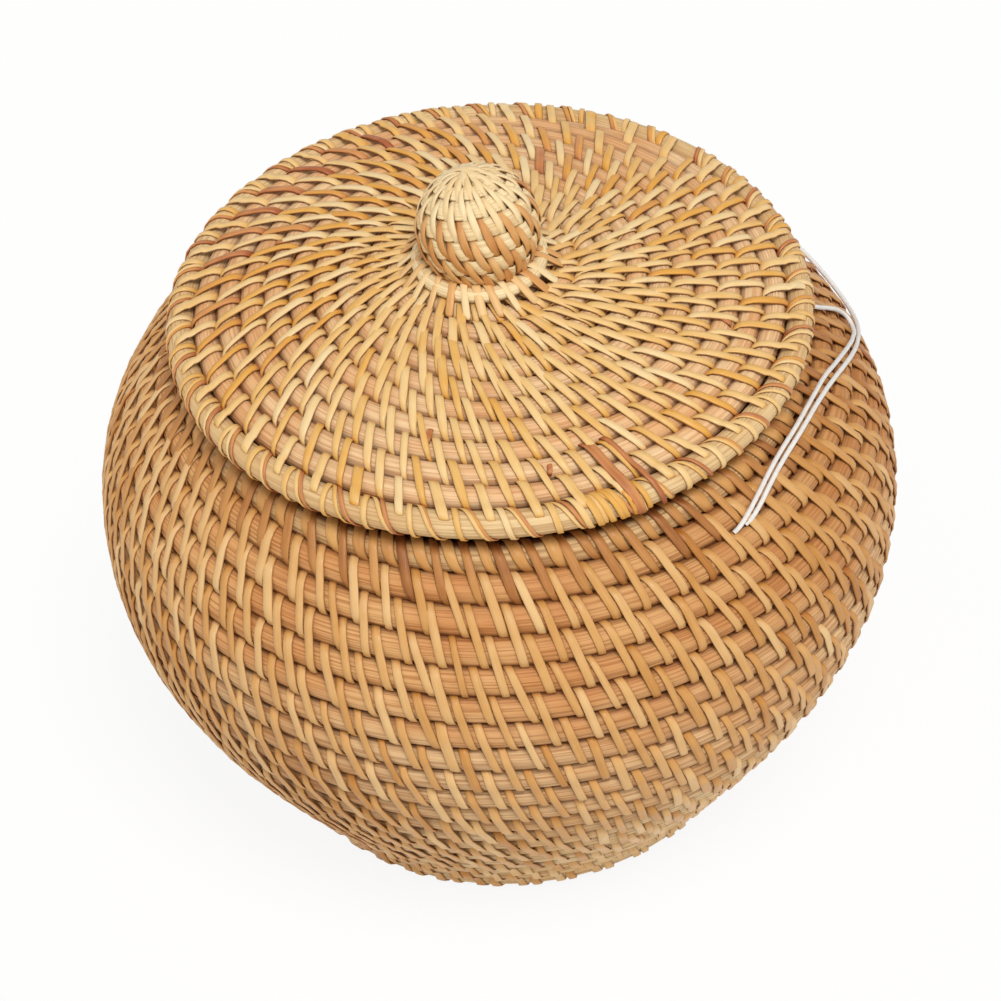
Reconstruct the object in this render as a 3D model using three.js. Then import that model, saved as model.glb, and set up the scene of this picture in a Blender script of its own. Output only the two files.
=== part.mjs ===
// Squat coiled-rattan pot with a domed lift-off lid and a woven ball knob.
// Millimetres, +Z up. The origin is the centre of the pot's underside.
// A round reed is wound in a spiral, so every shell here is ridged, one ridge to a course.
import * as THREE from 'three';

// Fits
const SEAT_GAP = 0.3;
const RING_STEPS = 28;
const SMALL_RING_STEPS = 20;
const REED_SIDES = 8;

// Pot
const FOOT_RADIUS = 55;
const BELLY_RADIUS = 91.2;
const BELLY_HEIGHT = 83.5;
const MOUTH_RADIUS = 70.3;
const MOUTH_HEIGHT = 126.6;
const FOOT_LEAN_ANGLE = 64;
const MOUTH_LEAN_ANGLE = 138;
const POT_REED = 6.2;

// Courses in each length of the coil, from the middle of the bottom up to the mouth's own course
const BASE_CENTRE_COURSES = 5;
const BASE_OUTER_COURSES = 4;
const FOOT_COURSES = 2;
const LOWER_WALL_COURSES = 6;
const BELLY_COURSES = 6;
const SHOULDER_COURSES = 6;

// Lengths of the wall's curve handles, as shares of the way each one spans
const LOWER_REACH_SHARE = 0.38;
const UPPER_REACH_SHARE = 0.52;
const MOUTH_REACH_SHARE = 0.62;

// Where the round underside of the foot's course ends, in degrees (0 is outwards, 270 is down)
const FOOT_ROUND_END_ANGLE = 330;

// Binding over the two rims, from one angle to another round the reed (0 is outwards, 90 is up)
const BINDING_THICKNESS = 0.7;
const MOUTH_BINDING_START_ANGLE = 20;
const MOUTH_BINDING_END_ANGLE = 240;
const LID_BINDING_START_ANGLE = -100;
const LID_BINDING_END_ANGLE = 80;
const BINDING_STEPS = 5;

// Lid: its seat coil lies so far inside the mouth's course, and its rim's reed beside the seat coil
const LID_DOME = 11.8;
const LID_REED = 5.2;
const LID_RIM_REED = 6.2;
const LID_CENTRE_COURSES = 4;
const LID_MIDDLE_COURSES = 4;
const LID_OUTER_COURSES = 3;
const RIM_RISE_SHARE = 0.8;
const SEAT_REED = 5.8;
const SEAT_INSET = 3.7;
const COLLAR_REED = 4.4;
const COLLAR_COURSES = 3;

// Knob: a ball sunk a little into the lid and standing a little off its middle
const KNOB_RADIUS = 14.3;
const KNOB_RISE = 10.6;
const KNOB_SHIFT = -1.6;
const STEM_RADIUS = 4.6;
const SPLINT_THICKNESS = 0.8;
const HOOP_THICKNESS = 0.7;
const HOOP_WIDTH = 5.2;
const HOOPS = 3;
const HOOP_SPREAD_ANGLE = 29;
const SPLINTS = 16;
const SPLINT_WIDTH = 3.8;
const SPLINT_LOW_ANGLE = -42;
const SPLINT_HIGH_ANGLE = 78;
const SPLINT_BENDS = 7;
const CORE_STEPS = 9;
const NECK_REED = 3;
const TIE_REED = 3.4;

// Thread: a point is degrees round the pot, way down the wall from the mouth's course, and way out from it.
// Both strands start under the lid's rim and end in the furrow below the first course under the mouth's.
const THREAD_DIAMETER = 1.1;
const THREAD_SIDES = 8;
const THREAD_STEPS = 48;
const THREAD_ROUTES = {
  inner: [
    [2, -2, 4.95], [3, 1, 4.8], [5, 5, 4.4], [7.5, 10, 4.3], [9, 14, 4.3], [9.2, 17, 4.3], [7.5, 18.2, 4.3],
    [4, 16.4, 4.3], [0, 13.4, 4.3], [-4, 10.5, 4.3], [-8, 8, 4.3], [-12, 5.8, 4.4], [-18, 4.1, 4.5],
    [-27, 3.3, 4.6], [-36, 4.1, 4.5], [-40, 5.4, 4.4], [-44, 7.2, 4.3], [-47, 8.8, 4.1], [-49, 10, 3.4],
    [-50, 10.5, 2.6],
  ],
  outer: [
    [38, -2, 4.95], [37, 1, 4.8], [35.5, 5, 4.4], [33, 11, 4.3], [30, 16.5, 4.3], [26, 21, 4.3],
    [21, 24, 4.3], [15, 24.5, 4.3], [9, 21.5, 4.3], [4, 18.2, 4.3], [-1, 14.7, 4.3], [-6, 11.3, 4.3],
    [-12, 8, 4.3], [-18, 5.9, 4.4], [-27, 4.9, 4.5], [-36, 5.7, 4.4], [-40.5, 7.2, 4.3], [-44, 8.9, 4.1],
    [-46.3, 10.1, 3.4], [-47.4, 10.5, 2.6],
  ],
};

// Shape of one course: places along the course pitch, and heights as shares of the reed's radius
const COURSE_PLACE_SHARES = [-0.5, -0.22, 0.22];
const COURSE_HEIGHT_SHARES = [0.45, 0.92, 0.92];
const BASE_PRESS_SHARE = 0.8;

const potReedRadius = POT_REED / 2;
const baseLevel = potReedRadius * BASE_PRESS_SHARE;

const caneMaterials = {
  baseReed: [0.80, 0.64, 0.45],
  lowerReed: [0.80, 0.65, 0.45],
  bellyReed: [0.83, 0.64, 0.46],
  shoulderReed: [0.82, 0.61, 0.43],
  rimReed: [0.84, 0.70, 0.51],
  rimBinding: [0.74, 0.52, 0.31],
  lidReed: [0.88, 0.68, 0.51],
  lidInnerReed: [0.85, 0.70, 0.51],
  lidRimReed: [0.90, 0.80, 0.60],
  lidBinding: [0.86, 0.74, 0.50],
  knobCore: [0.70, 0.48, 0.30],
  knobHoop: [0.75, 0.52, 0.32],
  knobSplint: [0.92, 0.82, 0.60],
  thread: [0.93, 0.92, 0.90],
};

function caneMaterial(name, roughness = 0.6) {
  const color = new THREE.Color().setRGB(...caneMaterials[name], THREE.SRGBColorSpace);
  return new THREE.MeshStandardMaterial({ color, roughness, metalness: 0 });
}

// The line of the pot's course centres, from the foot's course up to the mouth's
function wallPath() {
  const path = new THREE.Path();
  const footLean = THREE.MathUtils.degToRad(FOOT_LEAN_ANGLE);
  const mouthLean = THREE.MathUtils.degToRad(MOUTH_LEAN_ANGLE);
  const lowerReach = (BELLY_HEIGHT - baseLevel) * LOWER_REACH_SHARE;
  const upperReach = (MOUTH_HEIGHT - BELLY_HEIGHT) * UPPER_REACH_SHARE;
  const mouthReach = (BELLY_RADIUS - MOUTH_RADIUS) * MOUTH_REACH_SHARE;
  path.moveTo(FOOT_RADIUS, baseLevel);
  path.bezierCurveTo(
    FOOT_RADIUS + lowerReach * Math.cos(footLean), baseLevel + lowerReach * Math.sin(footLean),
    BELLY_RADIUS, BELLY_HEIGHT - lowerReach,
    BELLY_RADIUS, BELLY_HEIGHT,
  );
  path.bezierCurveTo(
    BELLY_RADIUS, BELLY_HEIGHT + upperReach,
    MOUTH_RADIUS - mouthReach * Math.cos(mouthLean), MOUTH_HEIGHT - mouthReach * Math.sin(mouthLean),
    MOUTH_RADIUS, MOUTH_HEIGHT,
  );
  return path;
}

// The flat line of the bottom's course centres, from the middle out to the foot's course
function basePath() {
  const path = new THREE.Path();
  path.moveTo(0, baseLevel);
  path.lineTo(FOOT_RADIUS, baseLevel);
  return path;
}

// The seat coil lies on the mouth's binding
const rimBindingReach = potReedRadius + SEAT_GAP + BINDING_THICKNESS;
const seatReach = rimBindingReach + SEAT_GAP + SEAT_REED / 2;
const seatRadius = MOUTH_RADIUS - SEAT_INSET;
const seatHeight = MOUTH_HEIGHT + Math.sqrt(seatReach ** 2 - SEAT_INSET ** 2);

// The lid's rim lies against the outside of the seat coil, and the lid's underside on top of it
const rimRise = (SEAT_REED + LID_REED) / 2 * RIM_RISE_SHARE;
const rimReach = (SEAT_REED + LID_RIM_REED) / 2 + SEAT_GAP;
const lidRimRadius = seatRadius + Math.sqrt(rimReach ** 2 - rimRise ** 2);
const lidReedRadius = LID_REED / 2;
const lidSphere = (lidRimRadius ** 2 + LID_DOME ** 2) / (2 * LID_DOME);
const seatTop = seatHeight + SEAT_REED / 2 + SEAT_GAP;
const lidCentreHeight = seatTop - Math.sqrt((lidSphere - lidReedRadius) ** 2 - seatRadius ** 2);
const lidRimHeight = lidCentreHeight + lidSphere - LID_DOME;

// The domed line of the lid's course centres, from the middle out to the rim's reed
function lidPath() {
  const sweep = Math.asin(lidRimRadius / lidSphere);
  const path = new THREE.Path();
  path.absarc(0, lidCentreHeight, lidSphere, Math.PI / 2, Math.PI / 2 - sweep, true);
  return path;
}

// Height of the lid's surface at a radius, for a surface that lies so far outside its course centres
function lidSurface(radius, offset) {
  return lidCentreHeight + Math.sqrt((lidSphere + offset) ** 2 - radius ** 2);
}

// A point beside a path: so far along it, and so far out on its right-hand side
function besidePath(path, length, offset) {
  const share = THREE.MathUtils.clamp(length / path.getLength(), 0, 1);
  const point = path.getPoint(share);
  const tangent = path.getTangent(share);
  return new THREE.Vector2(point.x + tangent.y * offset, point.y - tangent.x * offset);
}

// Ridged outline of the courses first..last on one side of a path
function ridgeLine(path, start, pitch, first, last, offset) {
  const line = [];
  for (let course = first; course <= last; course += 1) {
    COURSE_PLACE_SHARES.forEach((place, index) => {
      const isEnd = course === first && index === 0;
      const length = start + (course + place) * pitch + (isEnd ? SEAT_GAP / 2 : 0);
      line.push(besidePath(path, length, offset * COURSE_HEIGHT_SHARES[index]));
    });
  }
  const end = start + (last + 0.5) * pitch - SEAT_GAP / 2;
  line.push(besidePath(path, end, offset * COURSE_HEIGHT_SHARES[0]));
  return line;
}

// Smooth inner outline of the same courses, one point to a course
function innerLine(path, start, pitch, first, last, offset) {
  const line = [besidePath(path, start + (first - 0.5) * pitch + SEAT_GAP / 2, offset)];
  for (let course = first; course <= last; course += 1) {
    line.push(besidePath(path, start + course * pitch, offset));
  }
  line.push(besidePath(path, start + (last + 0.5) * pitch - SEAT_GAP / 2, offset));
  return line;
}

// Turns a closed outline of (radius, height) points about the upright axis
function turned(outline, steps = RING_STEPS) {
  const area = THREE.ShapeUtils.area(outline);
  const points = area > 0 ? outline : [...outline].reverse();
  const geometry = new THREE.LatheGeometry([...points, points[0].clone()], steps);
  geometry.rotateX(Math.PI / 2);
  return geometry;
}

// Points on a circle in the (radius, height) plane, from one angle to another
function arcPoints(radius, height, size, from, to, count) {
  return Array.from({ length: count + 1 }, (_, index) => {
    const angle = THREE.MathUtils.degToRad(from + (to - from) * index / count);
    return new THREE.Vector2(radius + size * Math.cos(angle), height + size * Math.sin(angle));
  });
}

function reedRing(radius, height, size, sides = REED_SIDES, steps = RING_STEPS) {
  return turned(arcPoints(radius, height, size / 2, 0, 360 - 360 / sides, sides - 1), steps);
}

// A thin sleeve part of the way round a rim's reed
function sleeve(radius, height, reed, from, to, count) {
  const inner = reed / 2 + SEAT_GAP;
  const outside = arcPoints(radius, height, inner + BINDING_THICKNESS, from, to, count);
  const inside = arcPoints(radius, height, inner, from, to, count).reverse();
  return turned([...outside, ...inside]);
}

const part = new THREE.Group();

function addPiece(name, geometry, material) {
  const mesh = new THREE.Mesh(geometry, material);
  mesh.name = name;
  part.add(mesh);
  return mesh;
}

const wall = wallPath();
const bellyFrom = FOOT_COURSES + LOWER_WALL_COURSES;
const shoulderFrom = bellyFrom + BELLY_COURSES;
const wallCourses = shoulderFrom + SHOULDER_COURSES;
const wallPitch = wall.getLength() / wallCourses;
const base = basePath();
const baseCourses = BASE_CENTRE_COURSES + BASE_OUTER_COURSES;
const basePitch = (FOOT_RADIUS - potReedRadius - SEAT_GAP / 2) / (baseCourses - 0.5);

function pressFlat(points) {
  points.forEach((point) => {
    point.y = Math.max(point.y, 0);
    point.x = Math.max(point.x, 0);
  });
  return points;
}

function baseCoil(first, last) {
  const under = ridgeLine(base, 0, basePitch, first, last, potReedRadius);
  const over = innerLine(base, 0, basePitch, first, last, -potReedRadius).reverse();
  return turned(pressFlat([...under, ...over]));
}

// The middle of the bottom is solid, so its outline starts and ends on the axis
function baseCentreCoil(last) {
  const under = ridgeLine(base, 0, basePitch, 1, last, potReedRadius);
  const over = innerLine(base, 0, basePitch, 1, last, -potReedRadius).reverse().slice(0, -1);
  const outline = pressFlat([
    new THREE.Vector2(0, 0),
    new THREE.Vector2(basePitch * COURSE_PLACE_SHARES[2], 0),
    ...under,
    ...over,
    new THREE.Vector2(0, baseLevel + potReedRadius),
  ]);
  const geometry = new THREE.LatheGeometry(outline, RING_STEPS);
  geometry.rotateX(Math.PI / 2);
  return geometry;
}

// The foot's course is round underneath and runs on into the wall
function footCoil(last) {
  const foot = arcPoints(FOOT_RADIUS, baseLevel, potReedRadius, 180, FOOT_ROUND_END_ANGLE, BINDING_STEPS);
  const outside = ridgeLine(wall, 0, wallPitch, 1, last, potReedRadius);
  const inside = innerLine(wall, 0, wallPitch, 1, last, -potReedRadius).reverse();
  const bend = besidePath(wall, 0, -potReedRadius);
  return turned(pressFlat([...foot, ...outside, ...inside, bend]));
}

function wallCoil(first, last) {
  const outside = ridgeLine(wall, 0, wallPitch, first, last, potReedRadius);
  const inside = innerLine(wall, 0, wallPitch, first, last, -potReedRadius).reverse();
  return turned([...outside, ...inside]);
}

const lid = lidPath();
const stemHole = STEM_RADIUS + SEAT_GAP;
const lidEnd = lid.getLength() - LID_RIM_REED / 2 - SEAT_GAP;
const lidOuterFrom = LID_CENTRE_COURSES + LID_MIDDLE_COURSES;
const lidCourses = lidOuterFrom + LID_OUTER_COURSES;
const lidPitch = (lidEnd - stemHole) / lidCourses;

function lidCoil(first, last) {
  const start = stemHole + lidPitch / 2;
  const over = ridgeLine(lid, start, lidPitch, first, last, -lidReedRadius);
  const under = innerLine(lid, start, lidPitch, first, last, lidReedRadius).reverse();
  return turned([...over, ...under]);
}

// The collar hangs from the lid, inside the seat coil and clear of the mouth
const collarRadius = seatRadius - SEAT_REED / 2 - SEAT_GAP - COLLAR_REED / 2;
const collarTop = lidSurface(collarRadius + COLLAR_REED / 2, -lidReedRadius) - SEAT_GAP;

function collarCoil() {
  const path = new THREE.Path();
  const half = COLLAR_REED / 2;
  path.moveTo(collarRadius, collarTop - COLLAR_COURSES * COLLAR_REED);
  path.lineTo(collarRadius, collarTop);
  const outside = ridgeLine(path, half, COLLAR_REED, 0, COLLAR_COURSES - 1, half);
  const inside = innerLine(path, half, COLLAR_REED, 0, COLLAR_COURSES - 1, -half);
  return turned([...outside, ...inside.reverse()]);
}

// The knob stands on the middle of the lid
const lidTop = lidSurface(0, lidReedRadius);
const lidUnder = lidSurface(0, -lidReedRadius);
const knobHeight = lidTop + KNOB_RISE;
const splintInner = KNOB_RADIUS - SPLINT_THICKNESS;
const splintBend = THREE.MathUtils.degToRad(SPLINT_HIGH_ANGLE - SPLINT_LOW_ANGLE) / SPLINT_BENDS;
const splintFlatShare = Math.cos(splintBend / 2) * Math.cos(SPLINT_WIDTH / 2 / splintInner);
const hoopOuter = splintInner * splintFlatShare - SEAT_GAP / 2;
const hoopInner = hoopOuter - HOOP_THICKNESS;
const coreRadius = hoopInner - SEAT_GAP;
const tieHeight = lidUnder - SEAT_GAP - TIE_REED / 2;

// The ball is cut flat where it rests on the lid. The stem under it stays on the lid's middle.
function knobCore() {
  const cut = THREE.MathUtils.radToDeg(Math.asin((KNOB_RISE - SEAT_GAP) / coreRadius));
  const ball = arcPoints(0, knobHeight, coreRadius, -cut, 90, CORE_STEPS);
  ball[ball.length - 1].x = 0;
  const foot = tieHeight - TIE_REED / 2;
  const outline = [
    new THREE.Vector2(0, foot),
    new THREE.Vector2(STEM_RADIUS, foot),
    new THREE.Vector2(STEM_RADIUS, lidTop),
    ...ball,
  ];
  const geometry = new THREE.LatheGeometry(outline, SMALL_RING_STEPS);
  geometry.rotateX(Math.PI / 2);
  const place = geometry.attributes.position;
  for (let index = 0; index < place.count; index += 1) {
    const isBall = place.getZ(index) > lidTop + SEAT_GAP / 2;
    place.setX(index, place.getX(index) + (isBall ? KNOB_SHIFT : 0));
  }
  return geometry;
}

// A hoop is a band of the ball's surface, so wide, at a latitude
function knobHoop(latitude) {
  const half = THREE.MathUtils.radToDeg(HOOP_WIDTH / 2 / hoopOuter);
  const outside = arcPoints(0, knobHeight, hoopOuter, latitude - half, latitude + half, 2);
  const inside = arcPoints(0, knobHeight, hoopInner, latitude - half, latitude + half, 2).reverse();
  return turned([...outside, ...inside], SMALL_RING_STEPS).translate(KNOB_SHIFT, 0, 0);
}

// A splint is a box bent over the ball from under its waist to the crown, where it narrows
function knobSplint(azimuth) {
  const geometry = new THREE.BoxGeometry(1, 1, 1, 1, 1, SPLINT_BENDS);
  const place = geometry.attributes.position;
  const sector = 2 * Math.PI / SPLINTS;
  for (let index = 0; index < place.count; index += 1) {
    const latitude = THREE.MathUtils.degToRad(
      THREE.MathUtils.lerp(SPLINT_LOW_ANGLE, SPLINT_HIGH_ANGLE, place.getZ(index) + 0.5),
    );
    const size = THREE.MathUtils.lerp(splintInner, KNOB_RADIUS, place.getY(index) + 0.5);
    const ring = splintInner * Math.cos(latitude);
    const width = Math.min(SPLINT_WIDTH, ring * sector - SEAT_GAP);
    const turn = azimuth - place.getX(index) * width / ring;
    place.setXYZ(
      index,
      KNOB_SHIFT + size * Math.cos(latitude) * Math.cos(turn),
      size * Math.cos(latitude) * Math.sin(turn),
      knobHeight + size * Math.sin(latitude),
    );
  }
  return geometry;
}

// The neck's reed lies on the lid, round the foot of the ball
function neckRing() {
  const reach = KNOB_RADIUS + SEAT_GAP + NECK_REED / 2;
  const radius = Math.sqrt(reach ** 2 - (KNOB_RISE - SEAT_GAP - NECK_REED / 2) ** 2);
  const height = lidSurface(radius, lidReedRadius) + SEAT_GAP + NECK_REED / 2;
  return reedRing(radius, height, NECK_REED, REED_SIDES, SMALL_RING_STEPS).translate(KNOB_SHIFT, 0, 0);
}

// Before the mouth's course the thread turns round that course's reed, in under the lid
function threadPoint([degrees, down, out]) {
  const point = besidePath(wall, wall.getLength() - Math.max(down, 0), out);
  point.rotateAround(new THREE.Vector2(MOUTH_RADIUS, MOUTH_HEIGHT), Math.max(-down, 0) / out);
  const turn = THREE.MathUtils.degToRad(degrees);
  return new THREE.Vector3(point.x * Math.cos(turn), point.x * Math.sin(turn), point.y);
}

function threadStrand(route) {
  const round = arcPoints(0, 0, THREAD_DIAMETER / 2, 0, 360 - 360 / THREAD_SIDES, THREAD_SIDES - 1);
  return new THREE.ExtrudeGeometry(new THREE.Shape(round), {
    steps: THREAD_STEPS,
    extrudePath: new THREE.CatmullRomCurve3(route.map(threadPoint)),
  });
}

// The tie under the lid holds the knob's stem down
function tieRing() {
  const radius = STEM_RADIUS + SEAT_GAP + TIE_REED / 2;
  return reedRing(radius, tieHeight, TIE_REED, REED_SIDES, SMALL_RING_STEPS);
}

function mouthBinding() {
  const angles = [MOUTH_BINDING_START_ANGLE, MOUTH_BINDING_END_ANGLE];
  return sleeve(MOUTH_RADIUS, MOUTH_HEIGHT, POT_REED, ...angles, BINDING_STEPS);
}

function lidBinding() {
  const angles = [LID_BINDING_START_ANGLE, LID_BINDING_END_ANGLE];
  return sleeve(lidRimRadius, lidRimHeight, LID_RIM_REED, ...angles, BINDING_STEPS);
}

addPiece('base_centre_coil', baseCentreCoil(BASE_CENTRE_COURSES - 1), caneMaterial('baseReed'));
addPiece('base_outer_coil', baseCoil(BASE_CENTRE_COURSES, baseCourses - 1), caneMaterial('baseReed'));
addPiece('foot_coil', footCoil(FOOT_COURSES - 1), caneMaterial('lowerReed'));
addPiece('lower_wall_coil', wallCoil(FOOT_COURSES, bellyFrom - 1), caneMaterial('lowerReed'));
addPiece('belly_coil', wallCoil(bellyFrom, shoulderFrom - 1), caneMaterial('bellyReed'));
addPiece('shoulder_coil', wallCoil(shoulderFrom, wallCourses - 1), caneMaterial('shoulderReed'));
addPiece('mouth_rim_coil', reedRing(MOUTH_RADIUS, MOUTH_HEIGHT, POT_REED), caneMaterial('rimReed'));
addPiece('mouth_rim_binding', mouthBinding(), caneMaterial('rimBinding'));
for (const [strand, route] of Object.entries(THREAD_ROUTES)) {
  addPiece(`${strand}_thread_strand`, threadStrand(route), caneMaterial('thread'));
}

addPiece('lid_centre_coil', lidCoil(0, LID_CENTRE_COURSES - 1), caneMaterial('lidInnerReed'));
addPiece('lid_middle_coil', lidCoil(LID_CENTRE_COURSES, lidOuterFrom - 1), caneMaterial('lidReed'));
addPiece('lid_outer_coil', lidCoil(lidOuterFrom, lidCourses - 1), caneMaterial('lidReed'));
addPiece('lid_rim_coil', reedRing(lidRimRadius, lidRimHeight, LID_RIM_REED), caneMaterial('lidRimReed'));
addPiece('lid_rim_binding', lidBinding(), caneMaterial('lidBinding'));
addPiece('lid_seat_coil', reedRing(seatRadius, seatHeight, SEAT_REED), caneMaterial('lidReed'));
addPiece('lid_collar_coil', collarCoil(), caneMaterial('lidReed'));

addPiece('knob_core', knobCore(), caneMaterial('knobCore'));
addPiece('knob_neck_ring', neckRing(), caneMaterial('lidInnerReed'));
addPiece('knob_tie_ring', tieRing(), caneMaterial('rimBinding'));
for (let hoop = 0; hoop < HOOPS; hoop += 1) {
  const latitude = (hoop - (HOOPS - 1) / 2) * HOOP_SPREAD_ANGLE;
  addPiece(`knob_hoop_${hoop + 1}`, knobHoop(latitude), caneMaterial('knobHoop'));
}
for (let splint = 0; splint < SPLINTS; splint += 1) {
  const azimuth = 2 * Math.PI * splint / SPLINTS;
  const number = String(splint + 1).padStart(2, '0');
  addPiece(`knob_splint_${number}`, knobSplint(azimuth), caneMaterial('knobSplint'));
}

export default part;
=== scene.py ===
import math

import bmesh
import bpy
import numpy as np
from mathutils import Matrix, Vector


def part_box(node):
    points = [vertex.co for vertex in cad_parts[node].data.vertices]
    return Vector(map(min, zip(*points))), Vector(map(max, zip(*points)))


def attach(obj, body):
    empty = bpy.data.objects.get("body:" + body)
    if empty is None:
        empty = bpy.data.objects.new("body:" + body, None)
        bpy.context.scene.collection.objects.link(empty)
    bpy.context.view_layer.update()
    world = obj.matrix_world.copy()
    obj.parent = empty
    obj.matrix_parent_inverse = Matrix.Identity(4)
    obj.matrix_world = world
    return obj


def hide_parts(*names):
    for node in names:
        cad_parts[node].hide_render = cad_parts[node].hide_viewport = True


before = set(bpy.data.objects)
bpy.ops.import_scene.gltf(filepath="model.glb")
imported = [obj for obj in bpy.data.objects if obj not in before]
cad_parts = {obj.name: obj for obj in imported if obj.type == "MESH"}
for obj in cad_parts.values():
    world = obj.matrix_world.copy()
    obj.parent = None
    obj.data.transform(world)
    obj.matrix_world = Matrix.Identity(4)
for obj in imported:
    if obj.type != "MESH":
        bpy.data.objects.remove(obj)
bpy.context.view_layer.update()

# The pot is coiled cane: a round reed wound in a spiral, each course lashed to the one before
# with strips of peel. Every reed and strip is shaped straight, then bent round the pot or the lid.
# Sizes are in millimetres up to the last step, and the model is in metres.
MM = 0.001
rng = np.random.default_rng(11)

# Camera, fitted to the photograph's outlines, with its place in metres
CAMERA_PLACE = (0, -0.6672, 0.7162)
CAMERA_TILT = math.radians(46.195)
CAMERA_ROLL = math.radians(-3.236)
CAMERA_LENS = 137.98
CAMERA_SENSOR = 36

# Pot
FOOT_RADIUS = 55
BELLY_RADIUS = 91.2
BELLY_HEIGHT = 83.5
MOUTH_RADIUS = 70.3
MOUTH_HEIGHT = 126.6
FOOT_LEAN = math.radians(64)
MOUTH_LEAN = math.radians(138)
POT_REED_RADIUS = 3.1
BASE_LEVEL = 2.48
BASE_PITCH = 6.09
BASE_TURNS = 9
WALL_TURNS = 20
POT_TURNS = BASE_TURNS + WALL_TURNS
POT_START = math.radians(120)
# How strongly the wall leaves the foot, turns over the belly and comes in to the mouth
WALL_PULL = 0.38
SHOULDER_PULL = 0.52
MOUTH_PULL = 0.62
# Share of their thickness that reed and strips keep under the bottom
FLATTENED = 0.62

# Lid
RIM_RADIUS = 71.11
RIM_HEIGHT = 137.34
LID_DOME = 11.8
LID_REED_RADIUS = 2.6
LID_TURNS = 11
LID_START = math.radians(100)
STEM_HOLE = 4.9
RIM_REED_RADIUS = 3.1
RIM_OVERLAP = 0.3
SEAT_RADIUS = 66.6
SEAT_HEIGHT = 132.89
SEAT_REED_RADIUS = 2.9
COLLAR_RADIUS = 61.2
COLLAR_REED_RADIUS = 2.2
COLLAR_TURNS = 3
COLLAR_START = 1.7
COLLAR_STRIP_GAP = 9.0

# Knob. Its tilts, about y and x, lean the weave's poles to the left and to the back
KNOB_CENTRE = (-1.6, 0, 162.34)
KNOB_TILTS = (math.radians(-7.3), math.radians(-12))
BALL_RADIUS = 13.0
BALL_CORE_RADIUS = 12.3
BALL_TWIST = 0.22
LOW_TWIST = 0.12
KNOB_PEEL = 0.5
HOOP_RADIUS = 12.95
HOOP_WIDTH = 4.2
HOOP_WEAVE = 0.75
HOOP_LATITUDES = [-54.5, -35, -15.5, 4, 23.5, 43, 62]
HOOP_STEP = math.radians(19.5)
SPLINTS = 45
SPLINT_RADIUS = 13.3
SPLINT_WIDTH = 1.85
SPLINT_WEAVE = 0.65
SPLINT_TOPS = np.radians([78, 84, 68])
SPLINT_BOTTOM = math.radians(-66)
SPLINT_PALE_FROM = 0.41
# Shares of the room on a course that each of three splints takes
SPLINT_SHARES = np.array([0.9, 1.9, 0.9])
CROWN_RADIUS = 13.75
CROWN_REACH = math.radians(24)
NECK_RADIUS = 13.5
NECK_REED_RADIUS = 1.5
FAN_STRIPS = 27
TIE_RADIUS = 6.5
TIE_REED_RADIUS = 1.65

# Strips of peel
STRIP_WIDTH = 2.1
STRIP_THICKNESS = 0.55
STRIP_SLANT = 0.3
LID_STRIP_WIDTH = 2.0
LID_STRIP_SLANT = 0.36
# How unevenly strips are cut and laid: shares of width and slant, and millimetres
CUT_SCATTER = 0.1
SLANT_SCATTER = 0.045
PLACE_SCATTER = 0.32
# A gap so many spacings wide takes two strips. Each one's share of the way across it
WIDE_GAP = 1.4
ONE_IN_GAP = (0.5,)
TWO_IN_GAP = (0.27, 0.77)

# Share of a turn, at the back, where a level course climbs to the next one
CLIMB = 0.16
# How far a reed is pressed into the one beside it
PRESSED = 0.12
REED_SWELL = 0.022
RING_SWELL = 0.02


# Shapes to wind on

def ease(value, low, high):
    """Goes smoothly from 0 at low to 1 at high."""
    share = np.clip((value - low) / (high - low), 0, 1)
    return share * share * (3 - 2 * share)


def curve_through(start, first, second, end):
    """Points on a curve that leaves start towards first and reaches end from second."""
    share = np.linspace(0, 1, 200)[:, None]
    corners = [np.array(point, float) for point in (start, first, second, end)]
    weights = [(1 - share) ** 3, 3 * (1 - share) ** 2 * share, 3 * (1 - share) * share ** 2, share ** 3]
    return sum(weight * corner for weight, corner in zip(weights, corners))


class Shell:
    """A turned surface, as the line of its course centres and the way out of it at each length."""

    STEP = 0.25

    def __init__(self, line, side, soften, beyond=12):
        line = np.array(line, float)
        last = line[-1] - line[-2]
        line = np.vstack([line, line[-1] + last / np.hypot(*last) * beyond])
        length = np.concatenate([[0], np.cumsum(np.hypot(*np.diff(line, axis=0).T))])
        self.length = np.arange(0, length[-1], self.STEP)
        self.radius = np.interp(self.length, length, line[:, 0])
        self.height = np.interp(self.length, length, line[:, 1])
        tangent = np.stack([np.gradient(self.radius), np.gradient(self.height)])
        reach = int(soften / self.STEP)
        kernel = np.hanning(2 * reach + 3)[1:-1]
        padded = np.pad(tangent, ((0, 0), (reach, reach)), mode="edge")
        smooth = np.stack([np.convolve(row, kernel / kernel.sum(), "valid") for row in padded])
        smooth = smooth / np.hypot(*smooth)
        self.out_radius = smooth[1] * side
        self.out_height = -smooth[0] * side

    def place(self, angle, length, out):
        """Points in metres, at an angle round the axis, a length along the line and a way out."""
        radius = np.interp(length, self.length, self.radius)
        radius = radius + out * np.interp(length, self.length, self.out_radius)
        height = np.interp(length, self.length, self.height)
        height = height + out * np.interp(length, self.length, self.out_height)
        return np.stack([radius * np.cos(angle), radius * np.sin(angle), height], -1) * MM

    def radius_at(self, length):
        return np.interp(length, self.length, self.radius)


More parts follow.
